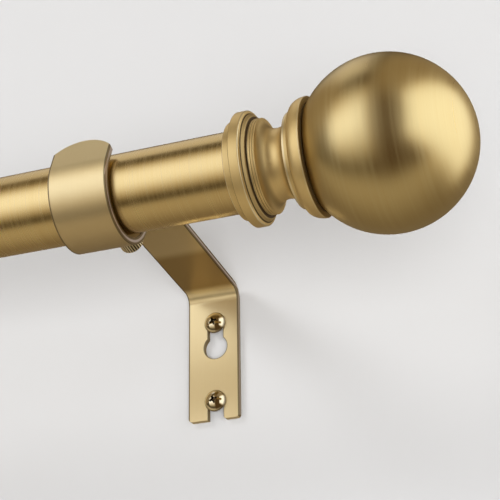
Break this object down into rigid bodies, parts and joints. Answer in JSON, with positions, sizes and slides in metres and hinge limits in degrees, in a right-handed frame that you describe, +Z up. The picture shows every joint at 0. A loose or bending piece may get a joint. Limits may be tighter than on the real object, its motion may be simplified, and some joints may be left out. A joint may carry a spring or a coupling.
{
  "type": "curtain rod with brackets",
  "caption": "Telescoping brass-finish curtain rod held in hooked wall brackets with thumb screws, with turned ball finials at both ends.",
  "frame": {"origin": "on the back of the right bracket's wall plate, midway between its keyhole and its open slot", "axes": "+X along the rod towards the right finial, +Y into the wall, +Z up"},
  "size_m": [0.6462, 0.1517, 0.0716],
  "materials": {
    "tube_brass": "satin antique brass, brushed round the tube",
    "bracket_brass": "satin antique brass, fine grain along the strap",
    "wall_screw_brass": "polished brass plate",
    "thumb_screw_brass": "bright brass plate, knurled rim",
    "finial_brass": "satin antique brass, turned",
    "ball_brass": "satin antique brass, spun and brushed",
    "zinc_steel": "zinc plated",
    "tip_nylon": "natural nylon",
    "washer_nylon": "natural nylon",
    "plug_nylon": "moulded nylon",
    "bush_nylon": "moulded nylon, gold coloured"
  },
  "bodies": {
    "brackets": {"bracket_right": "bracket_brass", "wall_screw_right_upper": "wall_screw_brass", "wall_screw_right_lower": "wall_screw_brass", "bracket_left": "bracket_brass", "wall_screw_left_upper": "wall_screw_brass", "wall_screw_left_lower": "wall_screw_brass"},
    "outer_rod": {"outer_tube": "tube_brass", "mouth_bush": "bush_nylon", "end_plug_right": "plug_nylon"},
    "inner_rod": {"inner_tube": "tube_brass", "guide_bush": "plug_nylon", "end_plug_left": "plug_nylon"},
    "tip_right": {"thumb_tip_right": "tip_nylon"},
    "thumb_right": {"thumb_screw_right": "thumb_screw_brass"},
    "tip_left": {"thumb_tip_left": "tip_nylon"},
    "thumb_left": {"thumb_screw_left": "thumb_screw_brass"},
    "washer_right": {"finial_washer_right": "washer_nylon"},
    "finial_right": {"finial_collar_right": "finial_brass", "finial_ball_right": "ball_brass", "finial_insert_right": "zinc_steel", "finial_stud_right": "zinc_steel"},
    "washer_left": {"finial_washer_left": "washer_nylon"},
    "finial_left": {"finial_collar_left": "finial_brass", "finial_ball_left": "ball_brass", "finial_insert_left": "zinc_steel", "finial_stud_left": "zinc_steel"}
  },
  "joints": [
    {"name": "rod_slide", "type": "slide", "parent": "brackets", "child": "outer_rod", "axis": [1, 0, 0], "range_m": [-0.036, 0.018]},
    {"name": "telescope", "type": "slide", "parent": "outer_rod", "child": "inner_rod", "axis": [-1, 0, 0], "range_m": [-0.018, 0.2]},
    {"name": "thumb_travel_right", "type": "slide", "parent": "brackets", "child": "tip_right", "axis": [0, 0.9781, -0.2079], "range_m": [0, 0.0024]},
    {"name": "thumb_turn_right", "type": "hinge", "parent": "tip_right", "child": "thumb_right", "pos_m": [0, -0.0956, 0.029], "axis": [0, 0.9781, -0.2079], "range_deg": [0, 1080]},
    {"name": "thumb_travel_left", "type": "slide", "parent": "brackets", "child": "tip_left", "axis": [0, 0.9781, -0.2079], "range_m": [0, 0.0024]},
    {"name": "thumb_turn_left", "type": "hinge", "parent": "tip_left", "child": "thumb_left", "pos_m": [-0.406, -0.0956, 0.029], "axis": [0, 0.9781, -0.2079], "range_deg": [0, 1080]},
    {"name": "finial_travel_right", "type": "slide", "parent": "outer_rod", "child": "washer_right", "axis": [1, 0, 0], "range_m": [0, 0.0101]},
    {"name": "finial_turn_right", "type": "hinge", "parent": "washer_right", "child": "finial_right", "pos_m": [0.07, -0.0956, 0.029], "axis": [1, 0, 0], "range_deg": [0, 3600]},
    {"name": "finial_travel_left", "type": "slide", "parent": "inner_rod", "child": "washer_left", "axis": [-1, 0, 0], "range_m": [0, 0.0101]},
    {"name": "finial_turn_left", "type": "hinge", "parent": "washer_left", "child": "finial_left", "pos_m": [-0.476, -0.0956, 0.029], "axis": [-1, 0, 0], "range_deg": [0, 3600]}
  ],
  "couplings": [
    {"joint": "thumb_turn_right", "follows": "thumb_travel_right", "rad_per_m": 7854},
    {"joint": "thumb_turn_left", "follows": "thumb_travel_left", "rad_per_m": 7854},
    {"joint": "finial_travel_right", "follows": "finial_turn_right", "m_per_rad": 0.00015915},
    {"joint": "finial_travel_left", "follows": "finial_turn_left", "m_per_rad": 0.00015915}
  ]
}
